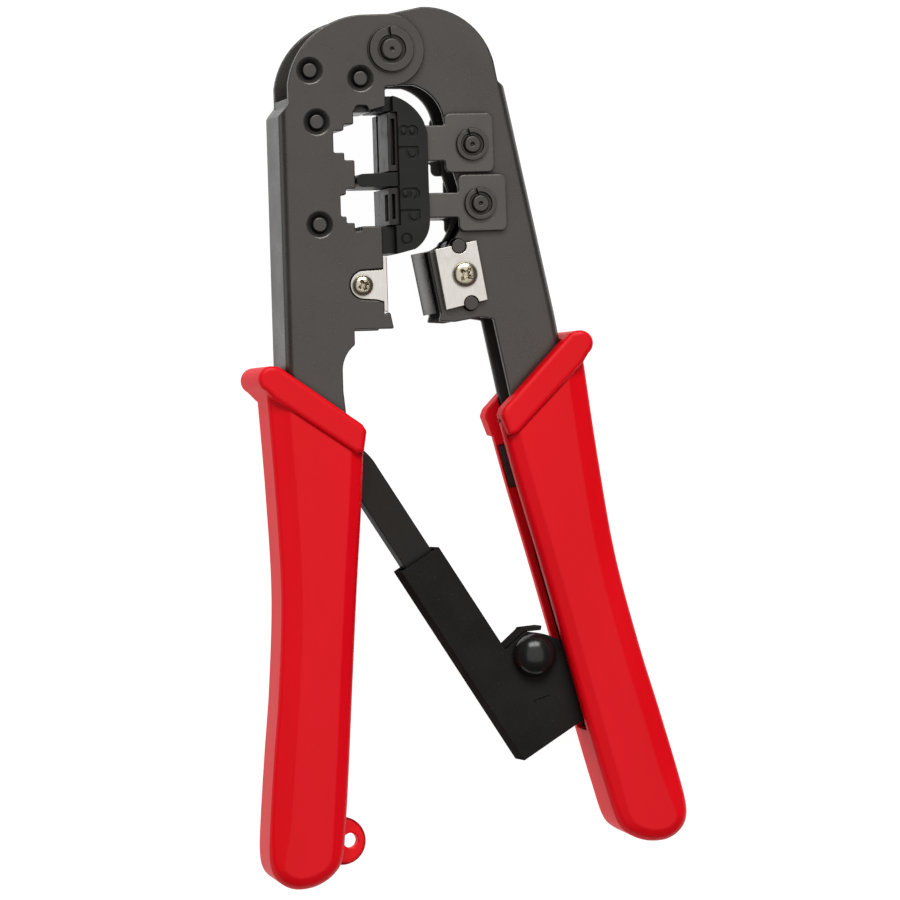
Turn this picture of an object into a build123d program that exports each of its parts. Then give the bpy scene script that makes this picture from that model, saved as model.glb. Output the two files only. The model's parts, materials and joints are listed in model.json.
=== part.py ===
"""Ratchet crimping tool for 8P and 6P modular plugs, drawn open and lying flat.

+Z is up, through the thickness of the tool, and +Y points from the handles to the head.
The parts are drawn about the main pivot, with the middle of the thickness at z = 0.
The left arm's web runs along Y. The right arm is drawn the same way, then swung open.
At the end everything moves together, so that the origin is the middle of the underside.
"""
from build123d import *
import os
from math import cos, radians, sin

os.makedirs("parts", exist_ok=True)

# ---------------------------------------------------------------- driving dimensions (mm)
OPEN_ANGLE = 10.2        # how far the right arm stands open from the left arm, degrees
LEFT_HALF = 8.0          # half of the left channel's outer thickness
LEFT_PLATE = 1.8
RIGHT_HALF = 6.05        # half of the right channel's outer thickness, nested in the left
RIGHT_PLATE = 1.6
LEFT_WEB_X = -22.6       # outer face of the left web
RIGHT_WEB_X = 21.6       # outer face of the right web, in the right arm's own frame
WEB_SWELL = (0.0, 0.8)   # how far the left and the right web stand out above the collars
SWELL_TOP_Y = -10.0
SWELL_Y = -58.0
BEND_RADIUS = 1.9        # outer radius of the bent sheet
LOBE_RADIUS = 7.0        # round eye of each channel about the main pivot

KNEE_Y = -104.0          # height at which both handles begin to flare
FRAME_END_Y = -154.0
FLARE = 3.2              # outward run of the web between the knee and its end

PIVOT_RADIUS = 2.5
BAR_PIN_RADIUS = 1.8
HOUSING_PIN_RADIUS = 1.6
SPINDLE_RADIUS = 1.3     # of the pawl
RUNNING_GAP = 0.05       # radial clearance of each turning fit
THROUGH = 12.0           # half height of a cut that passes right through the tool

CLIP_HEIGHT = 0.8        # retaining clips on the pins
CLIP_GRIP = 0.25
CLIP_CLEARANCE = 0.6
CLIP_MOUTH = 0.5
PIVOT_NECK = 2.2
WASHER_TOP = 8.3

# plug openings: the nose where the plug's latch goes, in three steps
OPENING_X = -7.9         # where the plug's body stops
OPENING_8P_TOP = -12.2
PUNCH_TOP_8P = -12.4
PUNCH_BOTTOM_8P = -23.9
PUNCH_TOP_6P = -27.2
PUNCH_BOTTOM_6P = -34.5
PUNCH_HALF = 7.2
PUNCH_RIGHT_X = 1.6
CONTACT_PITCH = 1.02
CONTACT_HALF = 0.2       # half thickness of one contact blade
GROOVE = (-3.2, -1.8)    # heights between which the contact blades stand
GROOVE_DEPTH = 1.5

CHEEK_TOP = 7.2          # outer face of the pusher cheeks
GUIDE_INNER = 7.3        # ceiling of the guide's channels
GUIDE_FACE = 8.2
GUIDE_RIGHT_X = 6.8
GUIDE_NOTCH_X = 0.85     # the guide's edge in front of the punches
FINGER_HALF = 7.5
MARK_DEPTH = 0.3         # size marks sunk into the guide, reading downwards
MARK_BASE_X = 1.0
MARK_HEIGHT = 3.9
MARK_STROKE = 0.55
MARK_LOOP = 1.1          # outer radius of the round parts of a mark
MARK_BOWL = 1.25         # and of the P

GRIP_HALF = 9.4
COLLAR_HALF = 10.3
RIGHT_SLOT_HALF = 4.9

BAR_HINGE = (-14.6, -79.0)          # on the left arm
HOUSING_HINGE_LOCAL = (16.5, -126.5)  # on the right arm, in its own frame
LINK_ANGLE = 31.8        # lean of the ratchet link from the Y axis, degrees
BAR_HALF_WIDTH = 3.2
BAR_HALF = 2.5
BAR_OFFSET = 4.3         # middle of the bar, to the right of its hinge
BAR_LENGTH = 58.0
HOUSING_HALF = 3.9
HOUSING_INNER = 2.9
HOUSING_HALF_WIDTH = 4.5
HOUSING_WALL = 0.75
HOUSING_TOP = 36.5       # mouth of the housing above its hinge
HOUSING_BOTTOM = -8.4
SHOULDER_Y = 12.0        # edge of the housing's plates beside the sleeve
KNOB_AT = (-9.8, 8.0)    # release knob, from the housing hinge
KNOB_RADIUS = 4.25
KNOB_HEIGHT = 3.8
TOOTH_PITCH = 1.6
TOOTH_COUNT = 9


# ---------------------------------------------------------------- small drawing helpers
def contour(start, *steps):
    """Closed face from a start point; a step is a point, or (middle, end) of an arc."""
    edges = []
    here = start
    for step in steps:
        if isinstance(step[0], tuple):
            edges.append(ThreePointArc(here, step[0], step[1]))
            here = step[1]
        else:
            edges.append(Line(here, step))
            here = step
    if here != start:
        edges.append(Line(here, start))
    return make_face(edges)


def slab(face, low, high):
    """A flat face drawn out between two heights."""
    return Pos(0, 0, low) * extrude(face, amount=high - low, dir=(0, 0, 1))


def both_sides(face, inner, outer):
    """The same plate at the front and at the back of the tool."""
    return slab(face, inner, outer) + slab(face, -outer, -inner)


def rod(place, radius, low, high):
    return Pos(place[0], place[1], (low + high) / 2) * Cylinder(radius, high - low)


def bore(place, radius):
    """A round cut right through the tool."""
    return rod(place, radius, -THROUGH, THROUGH)


def ring(place, inner, outer, low, high):
    return rod(place, outer, low, high) - rod(place, inner, low, high)


def block(x0, x1, y0, y1, low, high):
    middle = Pos((x0 + x1) / 2, (y0 + y1) / 2, (low + high) / 2)
    return middle * Box(x1 - x0, y1 - y0, high - low)


def retaining_clip(place, neck, outer, low, mouth_angle):
    """Open ring that grips a pin's neck at its foot and stands clear of it above."""
    grip_top = low + CLIP_GRIP
    clip = ring(place, neck, outer, low, grip_top)
    clip += ring(place, neck + CLIP_CLEARANCE, outer, grip_top, low + CLIP_HEIGHT)
    mouth = block(0, 2 * outer, -CLIP_MOUTH / 2, CLIP_MOUTH / 2, low - 1, low + CLIP_HEIGHT + 1)
    return clip - Pos(place[0], place[1], 0) * Rot(0, 0, mouth_angle) * mouth


def dimpled(pin, place, top):
    """A pin with the round dimple of its turning centre in its end."""
    return pin - Pos(place[0], place[1], top) * Cone(0.1, 0.8, 0.8)


def cross_head_screw(place, head_radius, seat, head_height, shank_radius, tip):
    """Pan-head screw with a cross recess, its axis along Z."""
    head = fillet(rod(place, head_radius, seat, seat + head_height).edges().group_by(Axis.Z)[-1],
                  0.6 * head_height)
    arm = 0.62 * head_radius
    slot = 0.16 * head_radius
    top = seat + head_height
    cut = Box(2 * arm, 2 * slot, head_height) + Box(2 * slot, 2 * arm, head_height)
    recess = Pos(place[0], place[1], top) * Rot(0, 0, 30) * cut
    return head - recess + rod(place, shank_radius, tip, seat)


def turned(point, angle):
    """A point turned about the origin by an angle in degrees."""
    c, s = cos(radians(angle)), sin(radians(angle))
    return (point[0] * c - point[1] * s, point[0] * s + point[1] * c)


def open_right(shape):
    """Swing a shape of the right arm from its own frame to the open position."""
    return Rot(0, 0, OPEN_ANGLE) * shape


HOUSING_HINGE = turned(HOUSING_HINGE_LOCAL, OPEN_ANGLE)
HINGE_SPAN = turned((HOUSING_HINGE[0] - BAR_HINGE[0], HOUSING_HINGE[1] - BAR_HINGE[1]),
                    -LINK_ANGLE)
CHANNEL_X = BAR_OFFSET - HINGE_SPAN[0]   # middle of the housing's channel, from its hinge


def at_bar(shape):
    return Pos(BAR_HINGE[0], BAR_HINGE[1], 0) * Rot(0, 0, LINK_ANGLE) * shape


def at_housing(shape):
    return Pos(HOUSING_HINGE[0], HOUSING_HINGE[1], 0) * Rot(0, 0, LINK_ANGLE) * shape


def from_housing(point):
    x, y = turned(point, LINK_ANGLE)
    return (HOUSING_HINGE[0] + x, HOUSING_HINGE[1] + y)


# ---------------------------------------------------------------- shared channel and grip shapes
def from_web(side, inward, y):
    """A point given by its distance inward from the outer face of an arm's web."""
    if side == "left":
        return (LEFT_WEB_X + inward, y)
    return (RIGHT_WEB_X - inward, y)


def swollen_web(side, inset):
    """The web's line from above the pivot down to the knee, moved in by inset."""
    swell = WEB_SWELL[0] if side == "left" else WEB_SWELL[1]
    if swell == 0:
        return [from_web(side, inset, 30), from_web(side, inset, KNEE_Y)]
    return [from_web(side, inset, 30), from_web(side, inset, SWELL_TOP_Y),
            from_web(side, inset - swell, SWELL_Y), from_web(side, inset, KNEE_Y)]


def web_band(side, inset, half):
    """Everything inward of the web's outer face (moved in by inset), within +-half."""
    far = 60.0
    face = contour(*swollen_web(side, inset),
                   from_web(side, inset - FLARE, FRAME_END_Y - 0.3),
                   from_web(side, far, FRAME_END_Y - 0.3), from_web(side, far, 30))
    return slab(face, -half, half)


def bent_envelope(side, half):
    """Outer envelope of a channel, with the two bends along its web rounded."""
    band = web_band(side, 0, half)
    web_edges = [e for e in band.edges().filter_by(GeomType.LINE)
                 if abs(abs(e.center().Z) - half) < 0.01
                 and abs(e.center().X - from_web(side, 0, 0)[0]) < FLARE
                 and e.length > 20]
    return fillet(web_edges, BEND_RADIUS)


def handle_room(side, half):
    """Room for the steel channel inside a grip."""
    swell = WEB_SWELL[0] if side == "left" else WEB_SWELL[1]
    face = contour(from_web(side, -swell, -55), from_web(side, -swell, SWELL_Y),
                   from_web(side, 0, KNEE_Y),
                   from_web(side, -FLARE, FRAME_END_Y), from_web(side, 6.8, FRAME_END_Y),
                   from_web(side, 10.6, KNEE_Y), from_web(side, 11.7, -72),
                   from_web(side, 12.2, -55))
    return slab(face, -half, half)


def grip_body(side):
    """Moulded handle: waist at the knee, flared and rounded lower end."""
    outer = [from_web(side, u, y) for u, y in ((-4.1, -66.5), (-3.0, -86), (-2.4, -106),
                                               (-3.4, -124), (-5.8, -150), (-6.3, -159.0))]
    toe = [from_web(side, u, y) for u, y in ((-6.3, -159.0), (-4.4, -162.7), (0.4, -164.0),
                                             (5.6, -162.4), (8.6, -159.0))]
    inner = [from_web(side, u, y) for u, y in ((8.6, -159.0), (9.9, -142), (11.4, -122),
                                               (12.8, -104), (14.2, -88), (15.0, -76))]
    edges = [Spline(*outer), Spline(*toe), Spline(*inner), Line(inner[-1], outer[0])]
    body = slab(make_face(edges), -GRIP_HALF, GRIP_HALF)
    long_edges = [e for e in body.edges()
                  if abs(abs(e.center().Z) - GRIP_HALF) < 0.01 and e.center().Y < -72]
    return fillet(long_edges, 2.6)


def grip_collar(side):
    """Raised sloping band at the top of a grip, with a hooked finger stop outside."""
    hook_top = from_web(side, -3.6, -61.5)
    hook_side = from_web(side, -6.1, -64.0)
    hook_low = from_web(side, -4.4, -66.7)
    face = contour(hook_top, (hook_side, hook_low), from_web(side, -3.2, -68.0),
                   from_web(side, 13.3, -79.0), from_web(side, 14.5, -78.9),
                   from_web(side, 15.2, -74.5), from_web(side, 14.5, -73.4),
                   from_web(side, -2.2, -61.5))
    band = slab(face, -COLLAR_HALF, COLLAR_HALF)
    return fillet(band.edges().group_by(Axis.Z)[-1] + band.edges().group_by(Axis.Z)[0], 0.9)


def right_grip():
    """Grip of the right arm, with a pocket inside its slot where the back is thinned."""
    pocket = contour(*[from_web("right", u, y) for u, y in
                       ((10.0, -81.0), (13.6, -81.0), (13.0, -89.8), (10.0, -89.8))])
    body = grip("right", RIGHT_HALF, RIGHT_SLOT_HALF, -139.5)
    return open_right(body - slab(pocket, -8.2, -RIGHT_SLOT_HALF))


def grip(side, half, slot_half, slot_end):
    """Grip with room for its channel and a slot in its inner side for the link."""
    slot = contour(from_web(side, 6.0, -70.0), from_web(side, 18.0, -70.0),
                   from_web(side, 18.0, slot_end), from_web(side, 5.0, slot_end))
    return (grip_body(side) + grip_collar(side) - handle_room(side, half)
            - slab(slot, -slot_half, slot_half))


# ---------------------------------------------------------------- left arm
PLUG_STEPS = (
    (OPENING_X, OPENING_8P_TOP), (OPENING_X, -14.6), (-9.9, -14.6), (-9.9, -15.8),
    (-12.0, -15.8), (-12.0, -20.1), (-9.9, -20.1), (-9.9, -21.6), (OPENING_X, -21.6),
    (OPENING_X, -27.2), (-9.8, -27.2), (-9.8, -28.4), (-10.9, -28.4), (-10.9, -32.6),
    (-9.8, -32.6), (-9.8, -33.9), (-8.2, -33.9), (-8.2, -35.5), (-6.9, -35.5),
    (-6.9, -34.6),
)
PLATE_EDGE_X = -2.8      # right edge of the left plates below the openings
BLADE_SCREW_AT = (-7.0, -46.2)
BLADE_SHANK = 1.2
BLADE_TAB_TOP = LEFT_HALF - 0.3
BLADE_TAB_THICK = 0.8
FLANGE_ENDS = (-51.3, -40.5)   # of the fixed blade
SCREW_HEAD_HEIGHT = 1.2
RIVETS = ((-16.3, -3.9), (-6.2, -5.6), (-15.2, -14.0), (-15.2, -34.1))
RIVET_SHANK = 1.1
RIVET_BUTTON = 1.45
RIVET_RECESS = 2.6
RIVET_FLOOR = LEFT_HALF - 1.2
RIVET_TOP = LEFT_HALF - 0.1
RIVET_TAIL = 0.4


def left_outline():
    return contour(
        (LEFT_WEB_X, -12.6), (-20.7, -10.4), (-20.7, -6.5), ((-15.4, 3.1), (-4.6, 6.9)),
        (0, LOBE_RADIUS), ((6.8, -0.4), (-1.4, -7.2)), (-1.4, -11.2), (-4.7, -12.0),
        (-5.1, -11.0), (-7.1, -10.9), *PLUG_STEPS, (PLATE_EDGE_X, -34.6),
        (PLATE_EDGE_X, -51.4), (-2.7, -52.1), (-2.1, -51.5), (-1.6, -51.7), (-1.0, -54.8),
        (-8.9, -54.8), (-8.9, -57.8), ((-10.8, -60.0), (-11.5, -62.7)), (-11.5, -66.8),
        (-11.1, -71.0), (-12.1, KNEE_Y), (-16.0, FRAME_END_Y),
        (LEFT_WEB_X - FLARE, FRAME_END_Y), (LEFT_WEB_X, KNEE_Y))


def blade_tab_face(margin):
    """Round-ended tab about the fixed blade's screw; margin opens it out to its notch."""
    return contour((PLATE_EDGE_X, -43.2 + margin), (-7.2, -43.4 + margin),
                   ((-9.4 - margin, -46.1), (-7.0, -48.8 - margin)),
                   (-4.2, -49.0 - margin), (PLATE_EDGE_X, -49.4 - margin))


def left_frame():
    frame = bent_envelope("left", LEFT_HALF) & slab(left_outline(), -LEFT_HALF, LEFT_HALF)
    frame -= web_band("left", LEFT_PLATE, LEFT_HALF - LEFT_PLATE)
    frame -= slab(blade_tab_face(0.2), LEFT_HALF - LEFT_PLATE, LEFT_HALF + 1)
    for place in RIVETS:
        frame -= bore(place, RIVET_SHANK)
        depth = LEFT_HALF - RIVET_FLOOR
        sink = Cone(RIVET_BUTTON, RIVET_RECESS, depth)
        frame -= Pos(place[0], place[1], LEFT_HALF - depth / 2) * sink
    frame -= bore((0, 0), PIVOT_RADIUS)
    frame -= bore(BAR_HINGE, BAR_PIN_RADIUS)
    return frame


def die_block():
    face = contour((-20.7, -9.2), (-4.0, -9.2), (-4.0, OPENING_8P_TOP), *PLUG_STEPS,
                   (-3.4, -34.6), (-3.4, -36.0), (-10.2, -36.0), (-10.2, -40.6),
                   (-20.7, -40.6))
    inner = LEFT_HALF - LEFT_PLATE
    body = slab(face, -inner, inner)
    for place in RIVETS[2:]:
        body -= bore(place, RIVET_SHANK)
    return body


def die_rivets():
    rivets = []
    for place in RIVETS:
        shank = rod(place, RIVET_SHANK, -LEFT_HALF, RIVET_FLOOR)
        button = rod(place, RIVET_BUTTON, RIVET_FLOOR, RIVET_TOP)
        button = fillet(button.edges().group_by(Axis.Z)[-1], 0.3)
        tail = rod(place, RIVET_BUTTON, -LEFT_HALF - RIVET_TAIL, -LEFT_HALF)
        rivets.append(shank + button + tail)
    return Compound(rivets)


def mark_ring(up, y, radius):
    """Round stroke of a size mark, its middle up from the base line of the marks."""
    place = (MARK_BASE_X + up, y)
    return ring(place, radius - MARK_STROKE, radius, GUIDE_FACE - MARK_DEPTH, THROUGH)


def mark_bar(low_up, high_up, left_y):
    """Upright stroke of a size mark; its left side is the higher one on the tool."""
    return block(MARK_BASE_X + low_up, MARK_BASE_X + high_up, left_y - MARK_STROKE, left_y,
                 GUIDE_FACE - MARK_DEPTH, THROUGH)


def mark_eight(y):
    return mark_ring(MARK_LOOP, y, MARK_LOOP) + mark_ring(MARK_HEIGHT - MARK_LOOP, y, MARK_LOOP)


def mark_six(y):
    """Lower loop, a back that rises from its left side, and a hook over the top."""
    top_middle = MARK_HEIGHT - MARK_LOOP
    hook = mark_ring(top_middle, y, MARK_LOOP)
    hook -= block(-THROUGH, MARK_BASE_X + top_middle, y - MARK_LOOP, y + MARK_LOOP, 0, THROUGH)
    return mark_ring(MARK_LOOP, y, MARK_LOOP) + hook + mark_bar(MARK_LOOP, top_middle,
                                                                y + MARK_LOOP)


def mark_p(y):
    """Stem with a bowl at its top."""
    return mark_bar(0, MARK_HEIGHT, y + MARK_BOWL) + mark_ring(MARK_HEIGHT - MARK_BOWL, y,
                                                               MARK_BOWL)


def size_marks():
    """Marks 8P and 6P beside their openings, and the small ring below them."""
    marks = mark_eight(-16.1) + mark_p(-20.4) + mark_six(-28.4) + mark_p(-32.8)
    return marks + ring((2.0, -37.3), 0.75, 1.15, GUIDE_FACE - MARK_DEPTH, THROUGH)


def punch_guide():
    """Plastic guide of the punches, with a finger between the two plug openings."""
    inner = LEFT_HALF - LEFT_PLATE - 0.1
    cover = contour((0.0, -9.1), ((3.7, -11.1), (6.2, -14.4)), (GUIDE_RIGHT_X, -16.6),
                    (GUIDE_RIGHT_X, -33.7), ((6.0, -36.9), (3.7, -39.3)), (0.0, -40.2))
    guide = slab(cover, -GUIDE_FACE, GUIDE_FACE)
    guide += block(-3.2, 0.4, -12.1, -9.1, -inner, inner)
    guide += block(-2.6, 0.4, -40.0, -34.7, -inner, inner)
    guide += block(-10.0, 0.4, -40.0, -36.2, -inner, inner)
    for low, high in ((PUNCH_BOTTOM_8P, PUNCH_TOP_8P), (PUNCH_BOTTOM_6P, PUNCH_TOP_6P)):
        guide -= block(-5, 9, low - 0.1, high + 0.1, -GUIDE_INNER, GUIDE_INNER)
    guide -= block(-5, GUIDE_NOTCH_X, PUNCH_BOTTOM_6P - 0.1, PUNCH_TOP_8P + 0.1, -THROUGH, THROUGH)
    finger = contour((1.4, -24.1), (-6.2, -24.3), ((-7.5, -25.6), (-6.2, -26.9)), (1.4, -26.9))
    return guide + slab(finger, -FINGER_HALF, FINGER_HALF) - size_marks()


def fixed_blade():
    """Bent blade: tab under the screw, flange along the plate's edge, cutting lip inside."""
    top = BLADE_TAB_TOP
    tab = slab(blade_tab_face(0), top - BLADE_TAB_THICK, top)
    tab -= bore(BLADE_SCREW_AT, BLADE_SHANK)
    profile = [(-2.8, 1.0), (-1.6, 1.0), (-0.6, 1.1), (-1.5, 1.8), (-2.1, 1.8), (-2.1, top),
               (-2.8, top)]
    face = make_face(Polyline(*[(x, FLANGE_ENDS[0], z) for x, z in profile], close=True))
    return tab + extrude(face, amount=FLANGE_ENDS[1] - FLANGE_ENDS[0], dir=(0, 1, 0))


def fixed_blade_mount():
    inner = LEFT_HALF - LEFT_PLATE
    mount = block(-20.7, PLATE_EDGE_X, -50.6, -42.4, -inner, inner)
    mount += slab(blade_tab_face(0), inner, BLADE_TAB_TOP - BLADE_TAB_THICK)
    return mount - rod(BLADE_SCREW_AT, BLADE_SHANK, 0, THROUGH)


def fixed_blade_screw():
    return cross_head_screw(BLADE_SCREW_AT, 2.0, BLADE_TAB_TOP, SCREW_HEAD_HEIGHT, BLADE_SHANK, 0.0)


LANYARD_AT = (-11.5, -155.2)
LANYARD_RADIUS = 1.5
LANYARD_TAB_HALF = 1.6


def left_grip():
    """Grip of the left arm, with a round eye for a lanyard beside its lower end."""
    eye = rod((-13.2, LANYARD_AT[1]), 4.7, -LANYARD_TAB_HALF, LANYARD_TAB_HALF)
    eye &= block(-16.5, -5, -162, -148, -LANYARD_TAB_HALF, LANYARD_TAB_HALF)
    body = grip("left", LEFT_HALF, 5.0, -126.0)
    room = handle_room("left", LEFT_HALF)
    return body + (eye - room) - bore(LANYARD_AT, LANYARD_RADIUS)


def main_pivot_pin():
    top = 9.4
    pin = rod((0, 0), PIVOT_RADIUS, -LEFT_HALF, WASHER_TOP) + rod((0, 0), 4.4, -9.1, -LEFT_HALF)
    pin += chamfer(rod((0, 0), PIVOT_NECK, WASHER_TOP, top).edges().group_by(Axis.Z)[-1], 0.3)
    return dimpled(pin, (0, 0), top)


def bar_spacers():
    inner = LEFT_HALF - LEFT_PLATE
    front = ring(BAR_HINGE, BAR_PIN_RADIUS, 3.0, BAR_HALF + 0.1, inner)
    back = ring(BAR_HINGE, BAR_PIN_RADIUS, 3.0, -inner, -BAR_HALF - 0.1)
    return Compound([front, back])


# ---------------------------------------------------------------- punches
PUNCH_LEFT_8P = -1.0
PUNCH_LEFT_6P = -1.1
BLADES_SUNK_8P = 0.3     # how far the wide plug's contact blades stand back in their groove


def punch(left_x, top, bottom, slots):
    """Steel punch block with slots in its front."""
    body = block(left_x, PUNCH_RIGHT_X, bottom, top, -PUNCH_HALF, PUNCH_HALF)
    for x0, x1 in slots:
        body -= block(x0, x1, bottom + 1.2, top - 1.2, PUNCH_HALF - 1.8, PUNCH_HALF + 1)
    return body


def contact_comb(left_x, top, bottom, count):
    """Thin blades that press the plug's contacts down, one for each contact."""
    middle = (top + bottom) / 2
    blades = []
    for index in range(count):
        y = middle + (index - (count - 1) / 2) * CONTACT_PITCH
        blades.append(block(left_x, left_x + GROOVE_DEPTH, y - CONTACT_HALF, y + CONTACT_HALF,
                            *GROOVE))
    return Compound(blades)


def comb_8p():
    return contact_comb(PUNCH_LEFT_8P + BLADES_SUNK_8P, PUNCH_TOP_8P, PUNCH_BOTTOM_8P, 8)


def comb_6p():
    return contact_comb(PUNCH_LEFT_6P, PUNCH_TOP_6P, PUNCH_BOTTOM_6P, 6)


def punch_8p():
    """Punch whose contact blades stand in one long groove with a round relief at each end."""
    body = punch(PUNCH_LEFT_8P, PUNCH_TOP_8P, PUNCH_BOTTOM_8P, ((-0.3, 0.4),))
    back = PUNCH_LEFT_8P + BLADES_SUNK_8P + GROOVE_DEPTH
    ends = (PUNCH_BOTTOM_8P + 0.7, PUNCH_TOP_8P - 0.7)
    body -= block(PUNCH_LEFT_8P - 1, back, *ends, *GROOVE)
    for y in ends:
        relief = Rot(0, 90, 0) * Cylinder(0.9, GROOVE_DEPTH)
        body -= Pos(PUNCH_LEFT_8P, y, sum(GROOVE) / 2) * relief
    return body


def punch_6p():
    """Punch with one slit for each contact blade, the blades level with its face."""
    body = punch(PUNCH_LEFT_6P, PUNCH_TOP_6P, PUNCH_BOTTOM_6P, ((-0.5, 0.1),))
    body -= block(PUNCH_LEFT_6P - 1, PUNCH_LEFT_6P + 0.45, PUNCH_BOTTOM_6P + 0.9,
                  PUNCH_TOP_6P - 1.2, 3.2, PUNCH_HALF - 0.4)
    return body - comb_6p()


# ---------------------------------------------------------------- right arm
PUSHER_PIN_8P = (15.9, -18.9)
PUSHER_PIN_6P = (17.2, -30.6)
PUSHER_PIN_RADIUS = 2.0
PUSHER_PIN_NECK = 1.7
CLAMP_SCREW_AT = (5.6, -46.2)
DOWELS = ((5.6, -40.5), (5.75, -52.0))
DOWEL_RADIUS = 1.35
BLADE_EDGE_X = -2.8      # cutting edge of the moving blade
BLADE_ENDS = (-52.6, -40.3)
BLADE_LEVELS = (0.3, 0.9)
CLAMP_SHANK = 1.3
CLAMP_TOP = RIGHT_HALF + 1.3   # outer face of the clamp plate
PIN_HOLE_8P = turned(PUSHER_PIN_8P, -OPEN_ANGLE)
PIN_HOLE_6P = turned(PUSHER_PIN_6P, -OPEN_ANGLE)


def right_outline():
    beyond_web = RIGHT_WEB_X + WEB_SWELL[1] + 0.2
    return contour(
        (0, LOBE_RADIUS), (8.2, 7.1), ((16.2, 3.0), (20.4, -7.0)), (20.4, -10.2),
        (beyond_web, -12.2), (beyond_web, KNEE_Y), (beyond_web + FLARE, FRAME_END_Y),
        (15.0, FRAME_END_Y), (11.1, KNEE_Y), (10.0, -71.0), (9.8, -56.0), (7.3, -55.1),
        (2.1, -55.0), (-1.0, -54.2), (-0.4, -53.0), (-0.4, -40.3), ((4.4, -39.5), (6.4, -37.6)),
        ((8.1, -34.0), (8.3, -30.1)), (7.9, -26.0), (8.1, -15.0), ((6.6, -10.4), (3.4, -7.7)),
        (0, -LOBE_RADIUS), ((-LOBE_RADIUS, 0), (0, LOBE_RADIUS)))


def right_frame():
    frame = bent_envelope("right", RIGHT_HALF) & slab(right_outline(), -RIGHT_HALF, RIGHT_HALF)
    frame -= web_band("right", RIGHT_PLATE, RIGHT_HALF - RIGHT_PLATE)
    frame -= bore((0, 0), PIVOT_RADIUS + RUNNING_GAP)
    for place in (PIN_HOLE_8P, PIN_HOLE_6P):
        frame -= bore(place, PUSHER_PIN_RADIUS)
    for place in DOWELS:
        frame -= bore(place, DOWEL_RADIUS)
    frame -= bore(CLAMP_SCREW_AT, CLAMP_SHANK)
    frame -= bore(HOUSING_HINGE_LOCAL, HOUSING_PIN_RADIUS)
    return open_right(frame)


def pusher(x0, x1, top, bottom, neck_top, neck_bottom, tip_x, pin_at):
    """Forked pusher: two cheeks on the arm, and a neck that reaches into the guide."""
    cheeks = both_sides(RectangleRounded(x1 - x0, top - bottom, 1.2).face(), RIGHT_HALF, CHEEK_TOP)
    cheeks = Pos((x0 + x1) / 2, (top + bottom) / 2, 0) * cheeks
    round_tip = contour((x0 - 1.3, neck_top), (tip_x + 1.5, neck_top),
                        ((tip_x, (neck_top + neck_bottom) / 2), (tip_x + 1.5, neck_bottom)),
                        (x0 - 1.3, neck_bottom))
    neck = slab(round_tip, -CHEEK_TOP, CHEEK_TOP)
    bridge = both_sides(contour((x0 - 2, neck_top), (x0 + 1, neck_top), (x0 + 1, neck_bottom),
                                (x0 - 2, neck_bottom)), RIGHT_HALF, CHEEK_TOP)
    return cheeks + neck + bridge - bore(pin_at, PUSHER_PIN_RADIUS)


def pusher_pins():
    pins = []
    top = 8.2
    for place in (PUSHER_PIN_8P, PUSHER_PIN_6P):
        neck = rod(place, PUSHER_PIN_NECK, CHEEK_TOP, top)
        pin = rod(place, PUSHER_PIN_RADIUS, -CHEEK_TOP, CHEEK_TOP)
        pin += chamfer(neck.edges().group_by(Axis.Z)[-1], 0.25)
        pin += rod(place, 3.0, -CHEEK_TOP - 0.9, -CHEEK_TOP)
        pins.append(dimpled(pin, place, top))
    return Compound(pins)


def pusher_clips():
    clips = [retaining_clip(place, PUSHER_PIN_NECK, 3.15, CHEEK_TOP, 108)
             for place in (PUSHER_PIN_8P, PUSHER_PIN_6P)]
    return Compound(clips)


def moving_blade():
    back, front = BLADE_LEVELS
    profile = [(BLADE_EDGE_X, back), (-1.6, front), (9.0, front), (9.0, back)]
    face = make_face(Polyline(*[(x, BLADE_ENDS[0], z) for x, z in profile], close=True))
    blade = extrude(face, amount=BLADE_ENDS[1] - BLADE_ENDS[0], dir=(0, 1, 0))
    for place in (*DOWELS, CLAMP_SCREW_AT):
        blade -= rod(place, DOWEL_RADIUS, -1, 2)
    return open_right(blade)


def blade_holder():
    inner = RIGHT_HALF - RIGHT_PLATE
    low, high = BLADE_ENDS
    holder = block(-0.2, 10.6, low - 0.8, high - 0.2, -inner, inner)
    holder -= block(-4, 9.05, low - 0.05, high + 1, *BLADE_LEVELS)
    for place in DOWELS:
        holder -= bore(place, DOWEL_RADIUS)
    return open_right(holder - bore(CLAMP_SCREW_AT, CLAMP_SHANK))


def blade_clamp_plate():
    face = contour((0.7, -40.2), (9.3, -40.1), (9.1, -52.0), (0.5, -52.3))
    plate = slab(face, RIGHT_HALF, CLAMP_TOP)
    plate -= bore(CLAMP_SCREW_AT, CLAMP_SHANK)
    for place in DOWELS:
        plate -= bore(place, DOWEL_RADIUS + 0.15)
    return open_right(plate)


def blade_dowels():
    dowels = [rod(place, DOWEL_RADIUS, -RIGHT_HALF, CLAMP_TOP - 0.2) for place in DOWELS]
    return open_right(Compound(dowels))


def moving_blade_screw():
    screw = cross_head_screw(CLAMP_SCREW_AT, 2.5, CLAMP_TOP, SCREW_HEAD_HEIGHT, CLAMP_SHANK,
                             -RIGHT_HALF)
    return open_right(screw)


def opening_spring():
    """Torsion spring about the pivot; its legs push the two arms apart."""
    wire = 0.45
    mean = 4.7
    path = Helix(pitch=1.3, height=5.2, radius=mean)
    start = Plane(origin=path @ 0, z_dir=path % 0)
    coil = Pos(0, 0, -2.6) * sweep(start * Circle(wire), path=path)
    leg_length = 9.0
    left_leg = Pos(mean, leg_length / -2, -2.6) * Rot(90, 0, 0) * Cylinder(wire, leg_length)
    right_leg = Pos(mean, leg_length / 2, 2.6) * Rot(90, 0, 0) * Cylinder(wire, leg_length)
    spring = coil + left_leg + right_leg
    return Rot(0, 0, -100) * spring


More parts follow.
